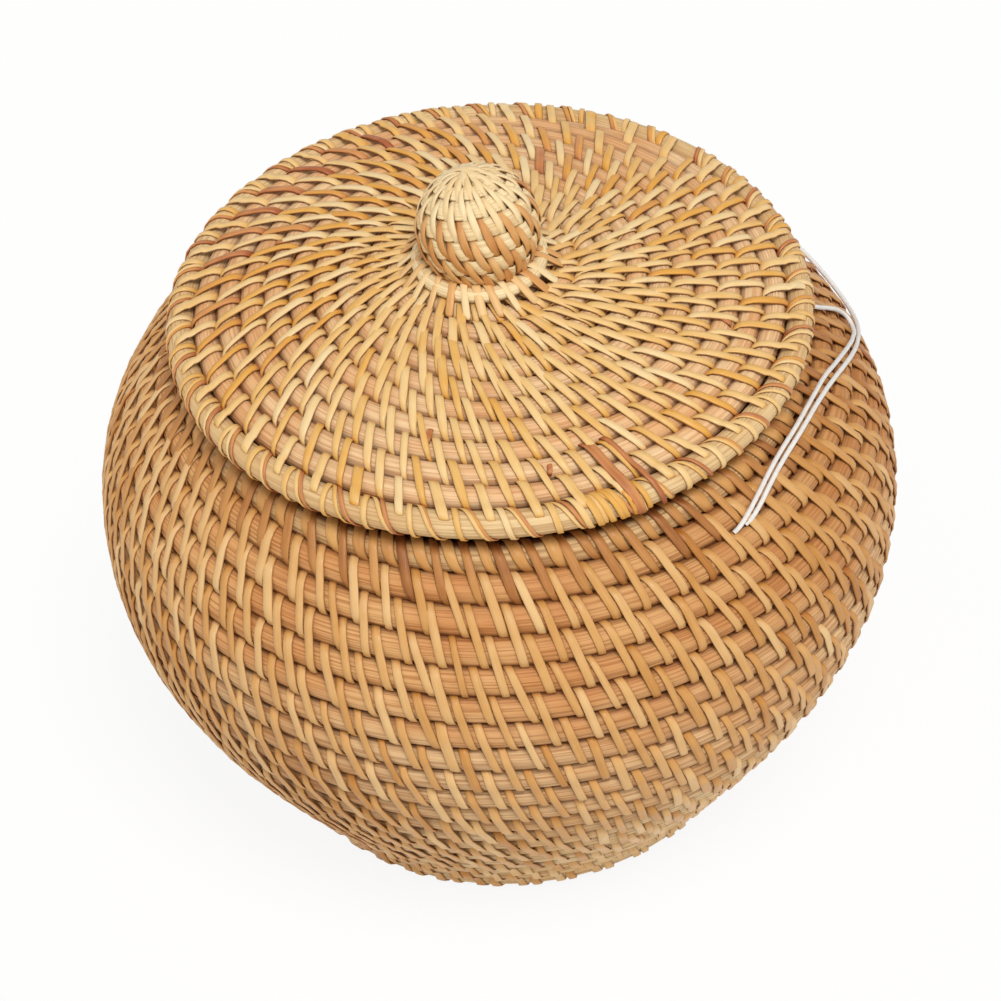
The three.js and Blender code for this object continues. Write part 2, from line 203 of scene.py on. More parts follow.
class Coil:
    """A spiral on a shell: the length along the shell's line at each turn."""

    def __init__(self, shell, reaches, start, level_from, level_to):
        self.shell = shell
        self.reaches = np.array(reaches, float)
        self.start = start
        self.level_from = level_from
        self.level_to = level_to

    def length_at(self, turn):
        """Low courses climb all the way round, and the last ones lie level and climb at the back."""
        course = np.floor(turn)
        part = turn - course
        level = np.clip((course - self.level_from) / (self.level_to - self.level_from), 0, 1)
        climbed = course + part + level * (ease(part, 1 - CLIMB, 1) - part)
        return np.interp(climbed, np.arange(len(self.reaches)), self.reaches)

    def angle_at(self, turn):
        return self.start + 2 * math.pi * turn

    def radius_at(self, turn):
        return self.shell.radius_at(self.length_at(turn))


def pot_coil():
    """The pot's spiral, and the distance between the wall's courses."""
    lower = (BELLY_HEIGHT - BASE_LEVEL) * WALL_PULL
    upper = (MOUTH_HEIGHT - BELLY_HEIGHT) * SHOULDER_PULL
    mouth = (BELLY_RADIUS - MOUTH_RADIUS) * MOUTH_PULL
    base = [(radius, BASE_LEVEL) for radius in np.linspace(0, FOOT_RADIUS, 60)]
    wall = curve_through(
        (FOOT_RADIUS, BASE_LEVEL),
        (FOOT_RADIUS + lower * math.cos(FOOT_LEAN), BASE_LEVEL + lower * math.sin(FOOT_LEAN)),
        (BELLY_RADIUS, BELLY_HEIGHT - lower),
        (BELLY_RADIUS, BELLY_HEIGHT),
    )
    shoulder = curve_through(
        (BELLY_RADIUS, BELLY_HEIGHT),
        (BELLY_RADIUS, BELLY_HEIGHT + upper),
        (MOUTH_RADIUS - mouth * math.cos(MOUTH_LEAN), MOUTH_HEIGHT - mouth * math.sin(MOUTH_LEAN)),
        (MOUTH_RADIUS, MOUTH_HEIGHT),
    )
    line = np.vstack([base, wall[1:], shoulder[1:]])
    shell = Shell(line, side=1, soften=4)
    # The bottom is pressed flat, so its strips end level with the ground
    raised = np.clip((shell.height - BASE_LEVEL) / 4, 0, 1)
    flatter = shell.out_height * (FLATTENED + (1 - FLATTENED) * raised)
    shell.out_height = np.where(shell.out_height < 0, flatter, shell.out_height)
    wall_line = line[len(base) - 1:]
    wall_length = np.hypot(*np.diff(wall_line, axis=0).T).sum()
    pitch = wall_length / WALL_TURNS
    reaches = [BASE_PITCH * turn for turn in range(BASE_TURNS)]
    reaches += [FOOT_RADIUS + pitch * turn for turn in range(WALL_TURNS + 2)]
    return Coil(shell, reaches, POT_START, BASE_TURNS + 3, POT_TURNS - 1), pitch


def lid_coil():
    """The lid's spiral, the distance between its courses and the length out to its rim."""
    sphere = (RIM_RADIUS ** 2 + LID_DOME ** 2) / (2 * LID_DOME)
    centre = RIM_HEIGHT + LID_DOME - sphere
    sweep = np.linspace(0, math.asin(RIM_RADIUS / sphere), 120)
    line = np.stack([sphere * np.sin(sweep), centre + sphere * np.cos(sweep)], -1)
    length = sphere * sweep[-1]
    pitch = (length - RIM_REED_RADIUS - RIM_OVERLAP - STEM_HOLE) / LID_TURNS
    reaches = [STEM_HOLE + pitch * (turn + 0.5) for turn in range(LID_TURNS + 3)]
    return Coil(Shell(line, side=-1, soften=1), reaches, LID_START, 1, LID_TURNS - 1), pitch, length


pot, pot_pitch = pot_coil()
lid, lid_pitch, lid_length = lid_coil()
pot_length = pot.reaches[POT_TURNS]


# Mesh helpers

def tube_mesh(steps, sides):
    """A sheet that one bend rolls up: x goes along it and y round it, each from 0 to 1."""
    bm = bmesh.new()
    bmesh.ops.create_grid(bm, x_segments=steps, y_segments=sides, size=0.5)
    bmesh.ops.translate(bm, verts=bm.verts, vec=(0.5, 0.5, 0))
    return bm


def vertex_places(bm):
    return np.array([vert.co for vert in bm.verts])


def bend(bm, places, straight, tone):
    """Moves every vertex to its place and keeps where it was on the straight cane."""
    straight_layer = bm.verts.layers.float_vector.new("straight")
    tone_layer = bm.verts.layers.float.new("tone")
    tones = np.broadcast_to(tone, len(places))
    for vert, place, was, value in zip(bm.verts, places, straight, tones):
        vert.co = place
        vert[straight_layer] = was
        vert[tone_layer] = value


def close_up(bm):
    """Joins the sheet's edges into a tube and closes its ends."""
    bmesh.ops.remove_doubles(bm, verts=bm.verts, dist=0.000001)
    rims = [edge for edge in bm.edges if edge.is_boundary]
    if rims:
        bmesh.ops.holes_fill(bm, edges=rims, sides=0)
    bmesh.ops.recalc_face_normals(bm, faces=bm.faces)


def mesh_of(bm, name):
    mesh = bpy.data.meshes.new(name)
    bm.to_mesh(mesh)
    bm.free()
    return mesh


def add_object(name, data):
    made = bpy.data.objects.new(name, data)
    bpy.context.scene.collection.objects.link(made)
    return made


def add_piece(bm, name, body, material, slot, *nodes):
    """Turns the mesh into a piece that rides on a body and may replace nodes of the CAD part."""
    mesh = mesh_of(bm, name)
    mesh.shade_smooth()
    piece = add_object(name, mesh)
    mesh.materials.append(material)
    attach(piece, body)
    if nodes:
        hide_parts(*nodes)


def wander(length, size):
    """Slow uneven swelling of a natural cane along its length."""
    waves = rng.uniform(0.02, 0.13, 5)
    phases = rng.uniform(0, 6.28, 5)
    return 1 + size * sum(np.sin(length * wave + phase) for wave, phase in zip(waves, phases)) / 2.2


# Reeds

STEPS_A_TURN = 112
REED_SIDES = 10


def spiral_reed(coil, first, last, wide, thick, taper=0.0, side_shade=None):
    """The coil's reed from one turn to another, thinned out over taper turns at its end.

    Wide and thick are half its size. The last argument gives its tone at each turn and angle: painted side
    shade.
    """
    bm = tube_mesh(int((last - first) * STEPS_A_TURN), REED_SIDES)
    sheet = vertex_places(bm)
    turn = first + (last - first) * sheet[:, 0]
    around = 2 * math.pi * sheet[:, 1]
    run = 2 * math.pi * coil.radius_at((first + last) / 2) * turn
    closing = ease(turn, last - taper, last) if taper else np.zeros_like(turn)
    thin = np.maximum(1 - closing, 0.02)
    swell = wander(run, REED_SWELL)
    beside = wide * np.sin(around) * swell * thin
    out = thick * np.cos(around) * swell * np.sqrt(thin)
    angle = coil.angle_at(turn)
    places = coil.shell.place(angle, coil.length_at(turn) - wide * closing + beside, out)
    # Painted side shade: a tone below 1 darkens the reed on the side away from the light
    tone = side_shade(turn, angle) if side_shade else 1.0
    bend(bm, places, np.stack([run, beside, out], -1) * MM, tone)
    close_up(bm)
    return bm


def ring_reed(shell, length, wide, thick, steps=144, sides=12, out_at=0.0):
    """A closed ring of reed at one length along a shell."""
    bm = tube_mesh(steps, sides)
    sheet = vertex_places(bm)
    angle = 2 * math.pi * sheet[:, 0]
    around = 2 * math.pi * sheet[:, 1]
    run = angle * shell.radius_at(length)
    swell = 1 + RING_SWELL * np.sin(angle * 5 + 1) * np.cos(angle * 3)
    beside = wide * np.sin(around) * swell
    out = thick * np.cos(around) * swell
    places = shell.place(angle, length + beside, out + out_at)
    bend(bm, places, np.stack([run, beside, out], -1) * MM, 1.0)
    close_up(bm)
    return bm


# Laying strips of peel

# Sections of a strip: places across and up, from one edge over the back to the other
PEEL_PROFILE = [(-1, 0.45), (-0.85, 0.95), (0, 1.06), (0.85, 0.95), (1, 0.45), (0.8, 0), (-0.8, 0)]
INNER_PROFILE = [(-1, 0.3), (-0.6, 1), (0.6, 1), (1, 0.3), (0, 0)]


def strip_template(steps, profile):
    """One straight strip: x across and z up, both up to 1, and y along it from -1 to 1."""
    sides = len(profile)
    bm = tube_mesh(steps, sides)
    for vert in bm.verts:
        across, up = profile[round(vert.co.y * sides) % sides]
        vert.co = (across, 2 * vert.co.x - 1, up)
    close_up(bm)
    return mesh_of(bm, "strip")


outer_strip = strip_template(12, PEEL_PROFILE)
inner_strip = strip_template(6, INNER_PROFILE)
splint_strip = strip_template(48, PEEL_PROFILE)
crown_strip = strip_template(16, PEEL_PROFILE)


def strip_copies(template, count):
    """A mesh of straight strips, the strip each vertex is on, and its x, y and z on it."""
    bm = bmesh.new()
    for _ in range(count):
        bm.from_mesh(template)
    strip = np.repeat(np.arange(count), len(template.vertices))
    return bm, strip, *vertex_places(bm).T


def random_tones(count, middle, spread):
    return np.clip(rng.normal(middle, spread, count), 0.02, 0.98)


def strip_turns(coil, first, last, spacing, drift=0.0):
    """The turns at which strips lie: each one goes between two of the course before.

    Drift, in millimetres, moves each course on, so that slanting strips stay apart.
    """
    around = 2 * math.pi * coil.radius_at(first)
    count = max(4, round(around / spacing(coil.radius_at(first))))
    turns = [first + (index + 0.5) / count for index in range(count + 1)]
    index = 0
    while turns[-1] < last:
        here, after = turns[index], turns[index + 1]
        index += 1
        radius = float(coil.radius_at(here + 1))
        gap = (after - here) * 2 * math.pi * radius
        shares = TWO_IN_GAP if gap > WIDE_GAP * spacing(radius) else ONE_IN_GAP
        move = drift / (2 * math.pi * radius)
        turns.extend(here + 1 + move + (after - here) * share for share in shares)
    return np.array([turn for turn in turns if turn < last])


def lay_strips(shell, angles, low, high, tones, template=outer_strip, *, reed, high_reed=None, side=1,
               slant=STRIP_SLANT, width=STRIP_WIDTH, thickness=STRIP_THICKNESS, lift=0.03,
               tucks=(1.3, 1.3), taper=(0.0, 0.25), hook=(0.0, 0.0), arch=0.0, dip=0.0, end_shadow=0.0):
    """Strips over the reeds at the lengths low and high. Where these are the same, over one reed.

    Reed and high_reed are half the width and thickness of the reeds. Other pairs are for the low
    and the high end: tucks are the angles that they turn down, taper how much narrower they get,
    and a hook swings an end sideways. Lift raises the whole strip, an arch its low part, and a dip
    draws its middle in. Both ends get painted shade as they turn down, and the end shadow share
    paints more shadow on its high end.
    """
    count = len(angles)
    bm, each, across, along, up = strip_copies(template, count)
    low, high = (np.broadcast_to(value, count)[each] for value in (low, high))
    low_wide, low_thick = reed
    high_wide, high_thick = high_reed or reed
    ahead = along > 0
    wide = np.where(ahead, high_wide, low_wide)
    thick = np.where(ahead, high_thick, low_thick)
    tuck = np.where(ahead, tucks[1], tucks[0])
    half = (high - low) / 2
    flat_share = 0.5 if np.any(half) else 0.0
    size = np.abs(along)
    past = np.clip(size - flat_share, 0, None) / (1 - flat_share)
    flat = np.clip(size / flat_share, 0, 1) if flat_share else np.ones_like(size)
    turn_down = past * tuck
    wobble = rng.normal(0, 1, (4, count))[:, each]
    breadth = np.broadcast_to(width, count)[each] * (1 + CUT_SCATTER * wobble[0])
    stand = up * thickness * (1 + CUT_SCATTER * wobble[1]) + lift
    stand = stand + arch * (1 - along) / 2 * np.cos(along * math.pi / 2)
    stand = stand - dip * np.clip(np.cos(along * math.pi), 0, 1)
    beside = np.sign(along) * (flat * half + (wide + stand) * np.sin(turn_down))
    run = np.sign(along) * (flat * half + (wide + stand) * turn_down)
    out = (thick + stand) * np.cos(turn_down)
    narrow = 1 - np.where(ahead, taper[1], taper[0]) * past
    length = (low + high) / 2 + beside
    radius = np.maximum(shell.radius_at(length), 4)
    lean = (slant + SLANT_SCATTER * wobble[2]) * run + PLACE_SCATTER * wobble[3]
    lean = lean + np.where(ahead, hook[1], hook[0]) * past ** 2
    shift = (across * breadth / 2 * narrow + lean) / radius
    places = shell.place(np.asarray(angles)[each] + shift, length, side * out)
    grain = rng.uniform(0, 400, count)[each]
    straight = np.stack([along * 8 + grain, across * breadth / 2, up], -1) * MM
    # Painted shade: both ends darken as they turn down into the crevices, and the high end takes any painted
    # shadow given on top
    shaded = 0.3 * np.clip(past - 0.4, 0, 1)
    shaded = shaded + np.broadcast_to(end_shadow, count)[each] * np.clip(along * turn_down - 0.25, 0, 0.5) * 2
    bend(bm, places, straight, np.asarray(tones)[each] - shaded)
    return bm


# Materials

def shade(red, green, blue):
    """A colour given as the eye sees it on a screen, from 0 to 255."""
    values = [value / 255 for value in (red, green, blue)]
    linear = [value / 12.92 if value <= 0.04045 else ((value + 0.055) / 1.055) ** 2.4 for value in values]
    return (*linear, 1)


class Wire:
    """A socket in a material. Arithmetic on wires adds the nodes that work it out."""

    def __init__(self, finish, socket):
        self.finish = finish
        self.socket = socket

    def _worked(self, operation, *values):
        return self.finish.node("ShaderNodeMath", {"operation": operation}, values)

    def __add__(self, other):
        return self._worked("ADD", self, other)

    def __sub__(self, other):
        return self._worked("SUBTRACT", self, other)

    def __rsub__(self, other):
        return self._worked("SUBTRACT", other, self)

    def __mul__(self, other):
        return self._worked("MULTIPLY", self, other)

    __radd__ = __add__
    __rmul__ = __mul__


class Finish:
    """A material under construction."""

    def __init__(self, name, roughness, coat=0.0):
        self.material = bpy.data.materials.new(name)
        self.material.use_nodes = True
        self.tree = self.material.node_tree
        self.tree.nodes.clear()
        self.surface = self.tree.nodes.new("ShaderNodeBsdfPrincipled")
        self.surface.inputs["Roughness"].default_value = roughness
        self.surface.inputs["Coat Weight"].default_value = coat
        self.surface.inputs["Specular IOR Level"].default_value = 0.3
        output = self.tree.nodes.new("ShaderNodeOutputMaterial")
        self.tree.links.new(self.surface.outputs[0], output.inputs[0])

    def node(self, kind, settings=None, inputs=(), output=0):
        made = self.tree.nodes.new(kind)
        for key, value in (settings or {}).items():
            if key == "stops":
                self._set_stops(made.color_ramp, value)
            else:
                setattr(made, key, value)
        pairs = inputs.items() if isinstance(inputs, dict) else enumerate(inputs)
        for key, value in pairs:
            self.plug(made.inputs[key], value)
        return Wire(self, made.outputs[output])

    def plug(self, socket, value):
        if isinstance(value, Wire):
            self.tree.links.new(value.socket, socket)
        else:
            socket.default_value = value

    @staticmethod
    def _set_stops(ramp, stops):
        while len(ramp.elements) < len(stops):
            ramp.elements.new(0.5)
        for element, (position, colour) in zip(ramp.elements, stops):
            element.position = position
            element.color = colour

    def mix(self, factor, first, second):
        return self.node("ShaderNodeMix", {"data_type": "RGBA"}, {0: factor, 6: first, 7: second}, 2)

    def noise(self, vector, scale, detail=2.0, roughness=0.5):
        inputs = {"Vector": vector, "Scale": scale, "Detail": detail, "Roughness": roughness}
        return self.node("ShaderNodeTexNoise", None, inputs)

    def grain(self, vector, stretch, detail=2.0, roughness=0.5):
        """Noise drawn out along the cane."""
        drawn = self.node("ShaderNodeVectorMath", {"operation": "MULTIPLY"}, [vector, stretch])
        return self.noise(drawn, 1.0, detail, roughness)

    def smooth_step(self, value, low, high):
        settings = {"interpolation_type": "SMOOTHSTEP"}
        return self.node("ShaderNodeMapRange", settings, [value, low, high, 0.0, 1.0])

    def attribute(self, name, output):
        return self.node("ShaderNodeAttribute", {"attribute_name": name}, output=output)

    def axis(self, vector, number):
        return self.node("ShaderNodeSeparateXYZ", None, [vector], number)

    def done(self, colour, bump, strength, distance):
        inputs = {"Strength": strength, "Distance": distance, "Height": bump}
        normal = self.node("ShaderNodeBump", None, inputs)
        self.plug(self.surface.inputs["Base Color"], colour)
        self.plug(self.surface.inputs["Normal"], normal)
        return self.material


def reed_finish(name, pale, warm, deep, groove=0.6, crevice_shade=0.95, shadowed=False, by_height=None):
    """Split cane: fine grooves along it, slow changes of tint, and painted shade where courses meet.

    The crevice share sets how dark that painted shade gets, and shadowed paints shadow on the side
    that lies under the lid. A tone below 1, the pot's painted side shade, darkens it towards deep.
    By_height holds two changes of its pale and warm colours on the way up.
    """
    finish = Finish(name, roughness=0.62)
    straight = finish.attribute("straight", 1)
    where = finish.node("ShaderNodeTexCoord", output=3)
    fine = finish.grain(straight, (25, 2100, 2100), detail=2.5, roughness=0.6)
    fibre = finish.grain(straight, (90, 5200, 5200), detail=1.0)
    patch = finish.noise(where, 28.0)
    blotch = finish.grain(straight, (60, 150, 150))
    tint = finish.smooth_step(patch * 0.5 + blotch * 0.5, 0.38, 0.62)
    if by_height:
        height = finish.axis(where, 2)
        (low_from, low_to, low_pale, low_warm), (high_from, high_to, high_pale, high_warm) = by_height
        lower = finish.smooth_step(height, low_from, low_to)
        upper = finish.smooth_step(height, high_from, high_to)
        pale = finish.mix(upper, finish.mix(lower, low_pale, pale), high_pale)
        warm = finish.mix(upper, finish.mix(lower, low_warm, warm), high_warm)
    colour = finish.mix(tint, pale, warm)
    lines = finish.smooth_step(fine, 0.36, 0.58)
    colour = finish.mix((1 - lines) * groove, colour, deep)
    colour = finish.mix(finish.smooth_step(fibre, 0.5, 0.75) * 0.3, colour, pale)
    # Painted side shade: where the tone is below 1, as on the pot's reeds, the colour goes towards deep
    tone = finish.attribute("tone", 2)
    colour = finish.mix(1 - tone, colour, deep)
    # Painted shade: the reed darkens to dark brown where it turns down into the crevice between courses
    if crevice_shade:
        away = finish.node("ShaderNodeMath", {"operation": "ABSOLUTE"}, [finish.axis(straight, 2)])
        crevice_shade_mask = 1 - finish.smooth_step(away, 0.0005, 0.0026)
        colour = finish.mix(crevice_shade_mask * (crevice_shade + 0.96 - 1.2 * tone), colour, shade(88, 36, 0))
    if shadowed:
        under_lid = finish.smooth_step(finish.axis(straight, 1), 0.001, 0.0028)
        colour = finish.mix(under_lid, colour, shade(96, 54, 22))
    return finish.done(colour, fine * 0.75 + fibre * 0.25, strength=0.7, distance=0.0004)


def strip_finish(name, stops, stain=0.25):
    """Peel: smooth and a little glossy, each strip of its own tint, streaked along its length, with painted
    shade along its low sides.
    """
    finish = Finish(name, roughness=0.5, coat=0.06)
    straight = finish.attribute("straight", 1)
    tone = finish.attribute("tone", 2)
    streak = finish.grain(straight, (40, 1500, 0))
    cloud = finish.grain(straight, (130, 260, 0))
    level = tone + (streak - 0.5) * 0.3 + (cloud - 0.5) * 0.4
    colour = finish.node("ShaderNodeValToRGB", {"stops": stops}, [level])
    # Painted shade: the strip's low sides, where it meets the reed, go dark brown
    low = 1 - finish.smooth_step(finish.axis(straight, 2), 0.0002, 0.001)
    colour = finish.mix(low * 0.8, colour, shade(118, 54, 6))
    colour = finish.mix(finish.smooth_step(cloud, 0.6, 0.8) * stain, colour, shade(140, 74, 36))
    return finish.done(colour, streak, strength=0.4, distance=0.00015)


def plain_finish(name, colour, dark, roughness=0.6, scale=400.0):
    """One colour with a fine darker grain, for the knob's filling and the thread."""
    finish = Finish(name, roughness)
    where = finish.node("ShaderNodeTexCoord", output=3)
    grain = finish.noise(where, scale, 3.0)
    return finish.done(finish.mix(grain, colour, dark), grain, strength=0.3, distance=0.0003)


# Heights in metres between which the pot's low colours end, and its shoulder's begin
POT_BLEND = [
    (0.034, 0.068, shade(246, 222, 172), shade(236, 200, 142)),
    (0.080, 0.108, shade(226, 174, 114), shade(208, 144, 86)),
]
pot_reed = reed_finish(
    "pot_reed", shade(235, 200, 150), shade(214, 164, 110), shade(150, 86, 30), by_height=POT_BLEND,
)
mouth_reed = reed_finish(
    "mouth_reed", shade(222, 184, 130), shade(200, 152, 98), shade(136, 84, 40), crevice_shade=0, shadowed=True,
)
lid_reed = reed_finish(
    "lid_reed", shade(242, 206, 158), shade(232, 178, 124), shade(184, 108, 36), groove=0.5,
)
lid_rim_reed = reed_finish(
    "lid_rim_reed", shade(230, 198, 146), shade(218, 178, 124), shade(164, 112, 60), groove=0.5, crevice_shade=0,
)
# Painted shadow: the lid's seat ring is coloured dark brown to stand for the shade in the gap under the
# lid's edge
painted_shadow_reed = reed_finish("painted_shadow_reed", shade(130, 86, 46), shade(104, 66, 34), shade(60, 34, 14), crevice_shade=0)
knob_hoop_reed = reed_finish(
    "knob_hoop_reed", shade(244, 224, 178), shade(236, 208, 156), shade(184, 134, 78), groove=0.4, crevice_shade=0,
)

pot_strip = strip_finish("pot_strip", [
    (0.0, shade(150, 78, 16)), (0.3, shade(190, 130, 60)),
    (0.6, shade(210, 158, 94)), (1.0, shade(228, 190, 134)),
])
# The darkest stops are reached where painted shade and painted shadow darken the wraps under the lid's edge
rim_strip = strip_finish("rim_strip", [
    (0.0, shade(92, 48, 18)), (0.15, shade(122, 66, 26)), (0.4, shade(168, 108, 52)),
    (0.7, shade(200, 144, 80)), (1.0, shade(216, 166, 98)),
])
lid_strip = strip_finish("lid_strip", [
    (0.0, shade(162, 86, 46)), (0.2, shade(204, 138, 82)), (0.4, shade(222, 160, 66)),
    (0.6, shade(226, 178, 104)), (0.8, shade(234, 196, 134)), (1.0, shade(237, 209, 158)),
])
knob_strip = strip_finish("knob_strip", [
    (0.0, shade(170, 96, 34)), (0.3, shade(214, 158, 94)),
    (0.6, shade(232, 196, 138)), (1.0, shade(242, 220, 174)),
], stain=0.1)
knob_fill = plain_finish("knob_fill", shade(150, 96, 46), shade(104, 60, 26))
white_thread = plain_finish(
    "white_thread", shade(240, 238, 234), shade(214, 210, 204), roughness=0.7, scale=900.0,
)


# Camera and thread

def place_camera():
    data = bpy.data.cameras.new("camera")
    data.sensor_width = CAMERA_SENSOR
    data.lens = CAMERA_LENS
    camera = add_object("camera", data)
    bpy.context.scene.camera = camera
    look_down = Matrix.Rotation(CAMERA_TILT, 4, "X")
    roll = Matrix.Rotation(CAMERA_ROLL, 4, "Z")
    camera.matrix_world = Matrix.Translation(CAMERA_PLACE) @ look_down @ roll


THREAD_DIAMETER = 1.1
# Degrees round the pot, way down the wall from the mouth's course, and way out from it
THREAD_ROUTES = {
    "inner": [
        (2, -2, 4.95), (3, 1, 4.8), (5, 5, 4.4), (7.5, 10, 4.3), (9, 14, 4.3), (9.2, 17, 4.3),
        (7.5, 18.2, 4.3), (4, 16.4, 4.3), (0, 13.4, 4.3), (-4, 10.5, 4.3), (-8, 8, 4.3), (-12, 5.8, 4.4),
        (-18, 4.1, 4.5), (-27, 3.3, 4.6), (-36, 4.1, 4.5), (-40, 5.4, 4.4), (-44, 7.2, 4.3),
        (-47, 8.8, 4.1), (-49, 10, 3.4), (-50, 10.5, 2.6),
    ],
    "outer": [
        (38, -2, 4.95), (37, 1, 4.8), (35.5, 5, 4.4), (33, 11, 4.3), (30, 16.5, 4.3), (26, 21, 4.3),
        (21, 24, 4.3), (15, 24.5, 4.3), (9, 21.5, 4.3), (4, 18.2, 4.3), (-1, 14.7, 4.3), (-6, 11.3, 4.3),
        (-12, 8, 4.3), (-18, 5.9, 4.4), (-27, 4.9, 4.5), (-36, 5.7, 4.4), (-40.5, 7.2, 4.3), (-44, 8.9, 4.1),
        (-46.3, 10.1, 3.4), (-47.4, 10.5, 2.6),
    ],
}


def thread_point(degrees, down, out):
    """Before the mouth's course the thread turns round that course's reed, in under the lid."""
    angle = math.radians(degrees)
    if down >= 0:
        return pot.shell.place(angle, pot_length - down, out)
    turned = -down / out
    radius = float(np.interp(pot_length, pot.shell.length, pot.shell.out_radius)) * out
    height = float(np.interp(pot_length, pot.shell.length, pot.shell.out_height)) * out
    reach = MOUTH_RADIUS + radius * math.cos(turned) - height * math.sin(turned)
    level = MOUTH_HEIGHT + radius * math.sin(turned) + height * math.cos(turned)
    return np.array([reach * math.cos(angle), reach * math.sin(angle), level]) * MM


def make_threads():
    for strand, route in THREAD_ROUTES.items():
        data = bpy.data.curves.new(f"{strand}_thread", "CURVE")
        data.dimensions = "3D"
        data.bevel_depth = THREAD_DIAMETER / 2 * MM
        data.bevel_resolution = 3
        data.use_fill_caps = True
        spline = data.splines.new("BEZIER")
        spline.resolution_u = 6
        points = [thread_point(*stop) for stop in route]
        spline.bezier_points.add(len(points) - 1)
        for knot, point in zip(spline.bezier_points, points):
            knot.co = point
            knot.handle_left_type = knot.handle_right_type = "AUTO"
        thread = add_object(f"{strand}_thread", data)
        data.materials.append(white_thread)
        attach(thread, "pot")
        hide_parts(f"{strand}_thread_strand")


place_camera()
make_threads()


# The pot

# Half the width and thickness of the reed, in the wall and in the bottom
POT_REED = (pot_pitch / 2, POT_REED_RADIUS)
BASE_REED = (BASE_PITCH / 2, POT_REED_RADIUS)
# Name, first and last turn, and slot
POT_LENGTHS = [
    ("base_centre", 0.05, 5, "pot_reed"),
    ("base_outer", 5, BASE_TURNS, "pot_reed"),
    ("foot", BASE_TURNS, 11, "pot_reed"),
    ("lower_wall", 11, 17, "pot_reed"),
    ("belly", 17, 23, "pot_reed"),
    ("shoulder", 23, POT_TURNS, "shoulder_reed"),
]
# Turns at which each length of lashing starts, up to the mouth's wraps
FIRST_STRIP = 1.5
FOOT_END = 13
SHOULDER_TOP = 26
LASHING_STARTS = {
    "base": FIRST_STRIP, "foot": BASE_TURNS, "lower_wall": FOOT_END, "belly_low": 17, "belly_high": 20,
    "shoulder_low": 23, "shoulder_high": SHOULDER_TOP,
}
LASHING_END = POT_TURNS - CLIMB
# Angles round the pot at which its reed and its strips are painted palest, low down and on the shoulder:
# painted light, and painted shade away from it
LOW_REED_PALEST = -0.4
LOW_STRIPS_PALEST = -0.5
SHOULDER_PALEST = 3.5
# Angle round the pot at which the painted shadow under the lid's edge is darkest
MOUTH_SHADOW_DARKEST_AT = math.radians(-92)


def pot_spacing(radius):
    """Millimetres between strips, closest at the middle of the bottom."""
    return 4.5 + 4.0 * min(radius, 60) / 60


pot_turns = strip_turns(pot, FIRST_STRIP, LASHING_END + 1, pot_spacing, drift=-0.5)


def pot_side_shade(turn, angle):
    """Painted side shade: the pot's low courses are painted darker at the back left, and its shoulder at the
    right.
    """
    low = 0.72 * ease(turn, 7, 11) * (1 - np.cos(angle - LOW_REED_PALEST)) / 2
    high = 0.38 * (1 - np.cos(angle - SHOULDER_PALEST)) / 2
    return 1 - low - (high - low) * ease(turn, 19, SHOULDER_TOP)


def make_pot_reeds():
    for name, first, last, slot in POT_LENGTHS:
        wide, thick = POT_REED if first >= BASE_TURNS else BASE_REED
        taper = CLIMB if last == POT_TURNS else 0.0
        bm = spiral_reed(pot, first, last, wide + PRESSED, thick, taper, pot_side_shade)
        add_piece(bm, f"{name}_reed", "pot", pot_reed, slot, f"{name}_coil")
    rim = ring_reed(pot.shell, pot_length, *POT_REED)
    add_piece(rim, "mouth_rim_reed", "pot", mouth_reed, "mouth_reed", "mouth_rim_coil")


def make_pot_lashing():
    starts = [*LASHING_STARTS.values(), LASHING_END]
    for name, first, last in zip(LASHING_STARTS, starts, starts[1:]):
        chosen = pot_turns[(pot_turns >= first) & (pot_turns < last)]
        low, high = pot.length_at(chosen - 1), pot.length_at(chosen)
        angles = pot.angle_at(chosen)
        rise = np.clip((first - FOOT_END) / (SHOULDER_TOP - FOOT_END), 0, 1)
        # Painted light and shade: the strips' tones rise on the side where the pot is painted palest and
        # fall away from it
        sides = rise * np.cos(angles - SHOULDER_PALEST)
        sides = sides + 1.8 * (1 - rise) * np.cos(angles - LOW_STRIPS_PALEST)
        shades = random_tones(len(chosen), 0.56 + 0.15 * sides, 0.14)
        bm = lay_strips(
            pot.shell, angles, low, high, shades, reed=POT_REED, slant=-STRIP_SLANT, tucks=(1.4, 1.3),
            taper=(0.5 - 0.4 * rise, 0.0), hook=(1.0 - 1.6 * rise, 0.0),
            dip=0.9 if last <= FOOT_END else 0.15,
        )
        add_piece(bm, f"{name}_lashing", "pot", pot_strip, "pot_strip")
        bm = lay_strips(
            pot.shell, angles, low, high, shades, inner_strip, reed=POT_REED, side=-1, slant=STRIP_SLANT,
        )
        add_piece(bm, f"{name}_inside_lashing", "pot", pot_strip, "pot_strip")


